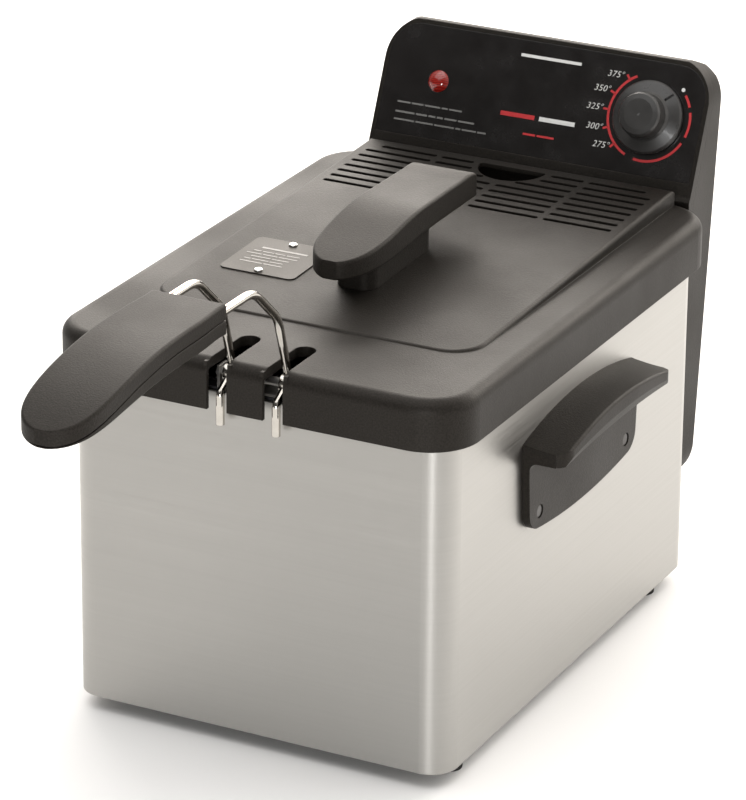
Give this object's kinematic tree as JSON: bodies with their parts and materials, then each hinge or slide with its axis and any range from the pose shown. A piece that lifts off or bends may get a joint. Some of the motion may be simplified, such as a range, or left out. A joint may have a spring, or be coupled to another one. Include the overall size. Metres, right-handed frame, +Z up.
{
  "type": "deep fryer",
  "caption": "Immersion-element deep fryer with a steel housing, lift-out pot and control head, wire basket with folding handle, and a vented cover.",
  "frame": {"origin": "middle of the whole fryer's outline, at the level it stands on", "axes": "+Z up; -Y the front, where the basket handle reaches out; +X the right-hand side seen from the front"},
  "size_m": [0.2824, 0.5934, 0.3017],
  "materials": {
    "brushed_steel_panel": "horizontally brushed",
    "pot_enamel": "dark non-stick coating",
    "dark_plastic": "fine textured warm dark grey",
    "black_plastic": "matte",
    "face_gloss": "gloss printed face plate",
    "chrome_wire": "polished",
    "wire_mesh": "bright woven wire",
    "bright_steel": "plain sheet",
    "element_metal": "dull tube",
    "zinc_screw": "zinc plated",
    "dark_rivet": "dark",
    "foot_rubber": "matte",
    "knob_plastic": "satin with a bright top ring",
    "lens_red": "clear red",
    "lamp_white": "moulded",
    "filter_felt": "felt",
    "label_metal": "blank satin plate",
    "rivet_bright": "plain",
    "reset_red": "matte",
    "brass_pin": "plated",
    "print_white": "white printing on the face plate, used by the visual model only",
    "print_red": "red printing on the face plate, used by the visual model only"
  },
  "bodies": {
    "housing": {"housing_shell": "brushed_steel_panel", "housing_base_plate": "bright_steel", "foot_front_left": "foot_rubber", "foot_front_right": "foot_rubber", "foot_rear_left": "foot_rubber", "foot_rear_right": "foot_rubber", "foot_screws": "zinc_screw", "side_handle_right": "dark_plastic", "side_handle_left": "dark_plastic", "side_handle_screws": "dark_rivet", "control_guides": "bright_steel"},
    "pot": {"oil_pot": "pot_enamel"},
    "control": {"control_front_panel": "dark_plastic", "control_rear_shell": "dark_plastic", "control_face_plate": "face_gloss", "control_inner_plate": "bright_steel", "control_screws": "zinc_screw", "element_bridge": "bright_steel", "heating_element": "element_metal", "element_straps": "bright_steel", "thermostat_body": "black_plastic", "thermostat_sensor": "bright_steel", "thermal_cutout": "black_plastic", "safety_switch": "black_plastic", "terminal_block": "black_plastic", "indicator_lens": "lens_red", "indicator_lamp": "lamp_white", "power_inlet": "black_plastic", "inlet_pins": "brass_pin"},
    "dial": {"dial_knob": "knob_plastic", "dial_spindle": "bright_steel"},
    "reset": {"reset_button": "reset_red"},
    "basket": {"basket_mesh": "wire_mesh", "basket_rim_rod": "chrome_wire", "basket_cradle_rods": "chrome_wire", "basket_bracket": "bright_steel", "basket_pivot_rod": "bright_steel"},
    "basket_handle": {"handle_wire_left": "chrome_wire", "handle_wire_right": "chrome_wire", "handle_grip_upper": "dark_plastic", "handle_grip_lower": "dark_plastic", "handle_grip_screws": "zinc_screw"},
    "cover": {"cover_shell": "dark_plastic", "cover_handle": "dark_plastic", "cover_handle_screws": "zinc_screw", "cover_plate": "label_metal", "cover_plate_rivets": "rivet_bright", "cover_filter": "filter_felt", "filter_retainer": "bright_steel"}
  },
  "joints": [
    {"name": "pot_lift", "type": "slide", "parent": "housing", "child": "pot", "axis": [0, 0, 1], "range_m": [0, 0.2]},
    {"name": "control_lift", "type": "slide", "parent": "pot", "child": "control", "axis": [0, 0, 1], "range_m": [0, 0.18]},
    {"name": "basket_lift", "type": "slide", "parent": "control", "child": "basket", "axis": [0, 0, 1], "range_m": [0, 0.16]},
    {"name": "cover_lift", "type": "slide", "parent": "basket", "child": "cover", "axis": [0, -0.0698, 0.9976], "range_m": [0, 0.26]},
    {"name": "basket_handle_fold", "type": "hinge", "parent": "basket", "child": "basket_handle", "pos_m": [0, -0.07554, 0.217], "axis": [-1, 0, 0], "range_deg": [0, 70]},
    {"name": "dial_turn", "type": "hinge", "parent": "control", "child": "dial", "pos_m": [0.0695, 0.27154, 0.26907], "axis": [0, 0.9135, -0.4067], "range_deg": [0, 278]},
    {"name": "reset_press", "type": "slide", "parent": "control", "child": "reset", "axis": [0, -1, 0], "range_m": [0, 0.0025], "stiffness_N_per_m": 300, "springref_m": -0.002}
  ]
}
